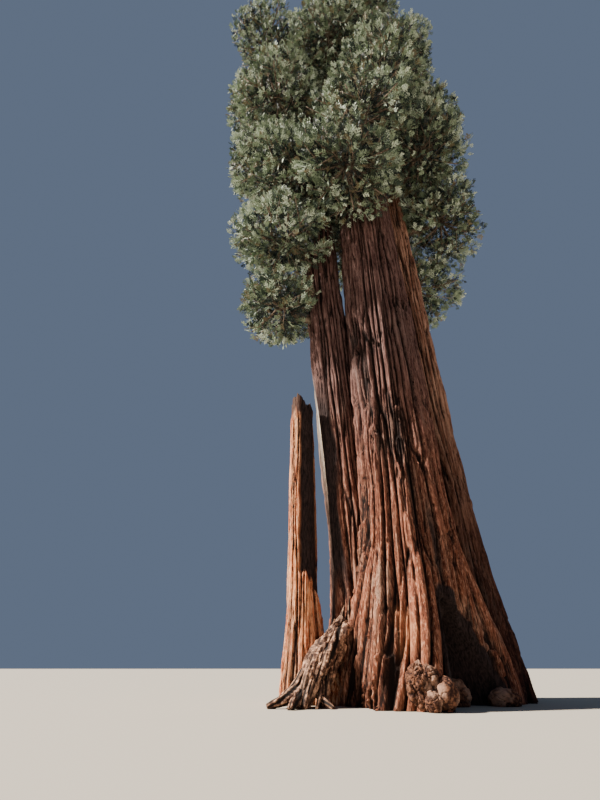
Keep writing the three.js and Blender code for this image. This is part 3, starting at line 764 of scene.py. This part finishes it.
def knot_surface(centre, half, lumps, amount, columns, rows, seed):
    """A burl's knot: a ball of half sizes with lumps on it, and smaller lumps on those, with creases between."""
    level = np.sin(np.linspace(-1, 1, rows)[:, None] * math.pi / 2 * 0.97)
    ball = on_ball(np.arange(columns) * 2 * math.pi / columns, level)
    bend = np.stack([noise(*(np.moveaxis(ball, -1, 0) * 3 + seed + shift)) for shift in (0, 20, 40)], -1) - 0.5
    cap, crease = lump_caps(unit(ball + 0.35 * bend), lumps, seed)
    small, small_crease = lump_caps(unit(ball + 0.3 * bend), lumps * 5, seed + 9)
    out = 1 - 0.75 * amount + amount * (cap - 0.35 * crease**2 + 0.4 * small - 0.2 * small_crease**2)
    points = np.array(centre) + ball * np.array(half) * out[..., None]
    points[..., 2] = np.maximum(points[..., 2], 0)
    return capped(points, furrow=np.clip(0.85 * crease**1.5 + 0.45 * small_crease**2, 0, 1))


def add_burls():
    """The burls at the foot, each node's knots as one piece."""
    for number, (name, knots) in enumerate(BURLS.items()):
        parts = [knot_surface(*knot, 104, 80, 7 + 11 * k + 100 * number) for k, knot in enumerate(knots)]
        add_piece(f"{name}_knots", *joined(parts), BURL_BARK, "burl", [f"{name}_burl"])


add_broken_stem()
add_root()
add_burls()


# Crown


def place_masses():
    """Masses climb each crown from low to high, turn by the golden share of their sector, and end in a leader."""
    masses = []
    for crown in CROWNS:
        stem = STEMS[crown["stem"]]
        for i in range(crown["count"]):
            share = (i + 0.5) / crown["count"]
            height = between(*crown["heights"], share ** crown["climb"])
            sectors = crown["sectors"]
            at, sweep = OPEN_SECTOR if height > crown["open_above"] else sectors[i % len(sectors)]
            angle = at + sweep * ((crown["phase"] + i * GOLDEN_SHARE) % 1 - 0.5)
            half = between(*crown["size"], math.sqrt(share))
            out = between(*crown["reach"], share) - half
            masses.append(SimpleNamespace(
                name=f"{crown['stem']}_foliage_{i + 1}", stem=stem, number=len(masses), angle=angle, leader=False,
                bough=i < crown["boughs"], centre=axis_at(stem, height) + outward(angle) * out,
                half=np.array([half, half, half * MASS_TALL])))
        tall = (stem["height"] - stem["tip_at"] + crown["skirt"]) / 2
        width = crown["top_width"]
        masses.append(SimpleNamespace(
            name=f"{crown['stem']}_foliage_top", stem=stem, number=len(masses), leader=True, bough=False,
            centre=axis_at(stem, stem["height"] - tall), half=np.array([width, width, tall])))
    return masses


def bezier(corners, share):
    """Points of a curve with three corners (..., 3, 3) at shares of its length."""
    start, bend, end = (corners[..., k, None, :] for k in range(3))
    share = np.asarray(share)[:, None]
    return start * (1 - share) ** 2 + bend * 2 * share * (1 - share) + end * share**2


def bough_corners(mass):
    """A bough's three corners: from within the stem, sagging a little, to where it enters its mass."""
    tip = mass.centre - outward(mass.angle) * BOUGH["inward"] * mass.half[0]
    tip[2] -= BOUGH["below"] * mass.half[2]
    reach = np.linalg.norm(tip - axis_at(mass.stem, tip[2]))
    start = axis_at(mass.stem, tip[2] - BOUGH["rise"] * reach) + outward(mass.angle) * BOUGH["start_out"]
    bend = (start + tip) / 2 - np.array([0, 0, BOUGH["sag"]])
    return np.stack([start, bend, tip])


def mass_stem_corners(mass):
    """A mass's own stem: on from its bough's tip, or out of the trunk, to the middle of the mass."""
    if mass.bough:
        corners = bough_corners(mass)
        start, way = corners[2], unit(corners[2] - corners[1])
    elif mass.leader:
        start, way = axis_at(mass.stem, mass.stem["tip_at"]), np.array([0, 0, 1.0])
    else:
        start, way = axis_at(mass.stem, mass.centre[2] - STEM_BELOW * mass.half[2]), outward(mass.angle)
    return np.stack([start, start + way * 0.5, mass.centre])


MASSES = place_masses()
BOUGHS = np.stack([bough_corners(mass) for mass in MASSES if mass.bough])
BOUGH_POINTS = bezier(BOUGHS, np.linspace(0, 1, 9)).reshape(-1, 3)


def in_space(points, mass):
    """Whether each point is in the mass's ellipsoid and on its side of the plane midway to each neighbour."""
    away = points - mass.centre
    inside = ((away / mass.half) ** 2).sum(-1) <= 1
    for other in MASSES:
        if other is not mass:
            apart = other.centre - mass.centre
            size = np.linalg.norm(apart)
            inside &= away @ apart / size < size / 2 - MARGIN
    return inside


def clear_of_limbs(points, clear):
    """Whether each point is at least clear outside every stem and bough, and inside the frame's own box. The box's
    sides are drawn in unevenly by noise, so that no side of the crown looks cut flat."""
    free = np.ones(points.shape[:-1], bool)
    for stem in STEMS.values():
        away = points - axis_at(stem, points[..., 2])
        angle = np.degrees(np.arctan2(away[..., 1], away[..., 0]))
        radius = stem_radius(stem, angle, np.clip(points[..., 2], 0, stem["tip_at"]))
        beside = points[..., 2] < stem["tip_at"] + 0.1
        free &= ~beside | (np.hypot(away[..., 0], away[..., 1]) > radius + clear)
    for place in BOUGH_POINTS:
        free &= np.linalg.norm(points - place, axis=-1) > BOUGH["root"] + clear
    low, high = (np.array(corner) / SCALE for corner in cad_box)
    drawn_in = SIDE_UNEVEN * smooth_step(noise(*np.moveaxis(points / SIDE_CELL, -1, 0)), 0.35, 0.8)
    uneven = drawn_in[..., None] * np.array([1, 1, 0])
    return free & (points > low + uneven).all(-1) & (points < high - uneven).all(-1)


def longest_fit(start, way, mass, shortest):
    """The largest share of each way whose end is in the mass's space and clear of limbs, or 0 below shortest."""
    reach = np.zeros(len(way))
    for share in np.arange(1, shortest, -0.06):
        end = start + way * share
        fits = in_space(end, mass) & clear_of_limbs(end, LIMB_CLEAR)
        reach = np.where((reach == 0) & fits, share, reach)
    return reach


def grow_twigs(mass):
    """The growth rule. Twigs leave the middle of the mass, turn by the golden angle and rise evenly from its foot to
    its top. Each ends in a tuft, carries one tuft midway, and has three side twigs that end in tufts. Returns the
    twigs' lines, and each tuft's place and way."""
    seed = 1 + mass.number * 97
    twigs = round(TWIGS * (mass.half[0] / FULL_SIZE) ** 2)
    k = np.arange(twigs)
    turn = np.radians(k * GOLDEN_TURN + 360 * draw(seed))
    rise = 1 - 1.8 * k / twigs if mass.leader else 1 - 2 * (k + 0.5) / twigs
    uneven = 0.7 + 0.45 * draw(seed + 31 * k)
    main = on_ball(turn, rise) * mass.half * (TWIG_REACH * uneven)[:, None]
    main = main * longest_fit(mass.centre, main, mass, LEAST_FIT)[:, None]
    main = main[size_of(main)[:, 0] > 0.1]
    count = len(main)
    sag = np.array([0, 0, -0.12]) * size_of(main)
    lines = [np.stack([np.tile(mass.centre, (count, 1)), mass.centre + main / 2 + sag, mass.centre + main], 1)]
    places, ways = [mass.centre + main, mass.centre + main * 0.6], [unit(main), unit(main)]
    side, up = aside(unit(main))
    for j, share in enumerate(SIDE_TWIGS):
        spin = 2 * math.pi * (j / 3 + draw(seed + 13 * np.arange(count)))[:, None]
        out = unit(unit(main) + 1.3 * (side * np.cos(spin) + up * np.sin(spin)))
        root = mass.centre + main * share
        branch = out * (SIDE_REACH * mass.half[0] * (0.75 + 0.5 * draw(seed + 7 * np.arange(count) + j)))[:, None]
        branch = branch * longest_fit(root, branch, mass, LEAST_FIT)[:, None]
        kept = size_of(branch)[:, 0] > 0.1
        root, branch = root[kept], branch[kept]
        lines.append(np.stack([root, root + branch / 2 + np.array([0, 0, -0.08]), root + branch], 1))
        places.append(root + branch)
        ways.append(unit(branch))
    return lines, np.concatenate(places), np.concatenate(ways)


def tubes(corners, root, tip, sides, rings):
    """Tapering tubes along curves with three corners: rings of sides corners at right angles to each curve."""
    share = np.linspace(0, 1, rings)
    path = bezier(corners, share)
    side, rise = aside(unit(np.gradient(path, axis=1)))
    turn = np.arange(sides) * 2 * math.pi / sides
    ring = side[:, :, None] * np.cos(turn)[:, None] + rise[:, :, None] * np.sin(turn)[:, None]
    points = path[:, :, None] - between(root, tip, share)[None, :, None, None] * ring
    middles = np.stack([path[:, 0], path[:, -1]], 1)
    block = np.concatenate([points.reshape(len(corners), -1, 3), middles], 1)
    return block.reshape(-1, 3), repeated(closed_faces(rings, sides), len(corners), block.shape[1]), {}


def spray_template():
    """A flat spray along +X, one long: a slim stem and pairs of branchlets that shorten towards its tip and lift by
    turns, each a blade of two triangles folded along its middle."""
    blades = [(np.zeros(3), np.array([1, 0, 0.04]), 0.06)]
    for k in range(5):
        at = 0.08 + 0.15 * k
        turn = 1 if k % 2 else -1
        length = 0.56 * (1 - 0.5 * at)
        way = np.array([0.7, 0.64 * turn, 0.35 * math.sin(2.3 * k)])
        start = np.array([at, 0, 0])
        blades.append((start, start + way * length, 0.095))
    corners = []
    for start, end, width in blades:
        along = end - start
        across = np.array([-along[1], along[0], 0]) / np.linalg.norm(along) * width
        widest = start + along * 0.58
        corners.append([start, widest - across + np.array([0, 0, 0.03]), end, widest + across])
    corners = np.array(corners).reshape(-1, 3)
    first = np.arange(len(blades))[:, None] * 4
    faces = np.concatenate([first + [0, 1, 2], first + [0, 2, 3]])
    return corners, faces


def grow_sprays(mass, places, ways):
    """Sprays of each tuft: a plume along its way and a little up. They wind up it by the golden angle, stand out
    wide at its foot and close together at its tip, and are left out where their tip would leave the mass's space.
    Returns roots, ways, side ways, lengths and tones."""
    tufts = len(places)
    k = np.arange(SPRAYS)
    number = np.arange(tufts)[:, None] * SPRAYS + k + mass.number * 7919
    rise = (k + 0.5) / SPRAYS
    turn = np.radians(k * GOLDEN_TURN) + 2 * math.pi * draw(np.arange(tufts)[:, None] + mass.number * 61)
    plume = unit(ways + np.array([0, 0, 0.45]))[:, None]
    side, up = aside(plume)
    round_it = side * np.cos(turn)[..., None] + up * np.sin(turn)[..., None]
    along = unit(plume * (0.35 + 0.9 * rise)[:, None] + round_it * (1.05 - 0.75 * rise)[:, None])
    size = TUFT_RADIUS * (0.75 + 0.5 * draw(np.arange(tufts) + mass.number * 17))[:, None, None]
    out = (0.5 * np.sqrt(1 - rise) * (0.6 + 0.8 * draw(number)))[..., None]
    root = places[:, None] + size * (plume * (1.5 * rise - 0.85)[:, None] + round_it * out)
    length = SPRAY_LENGTH * (0.8 + 0.5 * draw(number + 5000))
    spin = 2 * math.pi * draw(number + 9000)[..., None]
    side, up = aside(along)
    across = side * np.cos(spin) + up * np.sin(spin)
    tip = root + along * length[..., None]
    kept = in_space(tip, mass) & clear_of_limbs(tip, LIMB_CLEAR) & clear_of_limbs(root, 0)
    far = np.sqrt((((root - mass.centre) / mass.half) ** 2).sum(-1))
    tuft_tone = draw(np.arange(tufts) * 3 + mass.number * 29)[:, None]
    # Tone is partly painted light: painted shade deep in a mass and at a tuft's foot, painted light at its outside
    # and at a tuft's tip, with tone that differs at random by tuft and by spray.
    tone = 0.4 * np.clip(far, 0, 1) + 0.2 * tuft_tone + 0.45 * draw(number + 300) + 0.2 * rise
    return [v[kept] for v in (root, along, across, length, tone)]


def spray_mesh(roots, along, across, lengths):
    """The spray template set at each root, turned and sized, as one array of corners and one of triangles."""
    corners, faces = spray_template()
    up = np.cross(along, across)
    turned = (along[:, None] * corners[:, 0, None] + across[:, None] * corners[:, 1, None]
              + up[:, None] * corners[:, 2, None])
    points = roots[:, None] + turned * lengths[:, None, None]
    return points.reshape(-1, 3), repeated(faces, len(roots), len(corners)), {}


def add_crown():
    """Boughs, mass stems, twigs and sprays of every mass. Sprays are dealt into pieces by their tone."""
    boughs = tubes(BOUGHS, BOUGH["root"], BOUGH["tip"], 14, 20)
    stems = tubes(np.stack([mass_stem_corners(mass) for mass in MASSES]), 0.2, 0.12, 8, 8)
    main, fine, sprays = [], [], []
    for mass in MASSES:
        twigs, places, ways = grow_twigs(mass)
        main.append(twigs[0])
        fine += twigs[1:]
        sprays.append(grow_sprays(mass, places, ways))
    roots, along, across, lengths, tones = (np.concatenate(v) for v in zip(*sprays))
    bough_nodes = [f"{crown['stem']}_bough_{i + 1}" for crown in CROWNS for i in range(crown["boughs"])]
    mass_nodes = [mass.name for mass in MASSES]
    twigs = [tubes(np.concatenate(main), 0.09, 0.035, 5, 6), tubes(np.concatenate(fine), 0.04, 0.015, 4, 4)]
    for name, parts, nodes in (("boughs", [boughs, stems], bough_nodes), ("twigs", twigs, mass_nodes)):
        points, faces, _ = joined(parts)
        add_piece(name, points, faces, limb_values(points), LIMB_BARK, "bark", nodes)
    order = np.argsort(tones, kind="stable")
    ends = np.cumsum([share for _, _, share in TINTS.values()])[:-1]
    for tint, chosen in zip(TINTS, np.split(order, (ends * len(order)).astype(int))):
        surface = spray_mesh(roots[chosen], along[chosen], across[chosen], lengths[chosen])
        look = foliage_look(tint, *TINTS[tint][:2])
        add_piece(f"foliage_{tint}", *surface, look, "foliage", mass_nodes, smooth=False)


def limb_values(points):
    """Marks of a limb's bark: neither charred, bleached nor rubbed, with shallow furrows by noise."""
    furrow = noise(points[:, 0] * 9, points[:, 1] * 9, points[:, 2] * 4)
    none = np.zeros(len(points))
    return dict(furrow=furrow * 0.5, char=none, bleached=none, rubbed=none)


add_crown()


# Camera, light and floor
camera_data = bpy.data.cameras.new("camera")
camera_data.lens = 19.2
camera_data.sensor_width = 36
camera_data.clip_end = 1000
camera = bpy.data.objects.new("camera", camera_data)
camera.location = (-2.6, -10.53, 0.63)
look_up = 32.1
camera.rotation_euler = (math.radians(90 + look_up), 0, 0)
bpy.context.scene.collection.objects.link(camera)
bpy.context.scene.camera = camera

key_data = bpy.data.lights.new("key", "SUN")
key_data.energy = 15
key_data.angle = math.radians(4)
key_data.color = (1.0, 0.93, 0.82)
key = bpy.data.objects.new("key", key_data)
key.rotation_euler = (math.radians(50), 0, math.radians(-84))
bpy.context.scene.collection.objects.link(key)

world = bpy.data.worlds.new("studio")
world.use_nodes = True
background = world.node_tree.nodes["Background"]
background.inputs["Color"].default_value = (0.52, 0.68, 1.0, 1)
background.inputs["Strength"].default_value = 0.23
bpy.context.scene.world = world

floor_mesh = bpy.data.meshes.new("floor")
half, below = 300, -0.002
floor_mesh.from_pydata([(-half, -half, below), (half, -half, below), (half, half, below), (-half, half, below)],
                       [], [(0, 1, 2, 3)])
floor_look = Look("pale_floor", 0.9, 0.2)
floor_mesh.materials.append(floor_look.finish(srgb((176, 168, 156))))
floor = bpy.data.objects.new("floor", floor_mesh)
bpy.context.scene.collection.objects.link(floor)

bpy.context.view_layer.update()
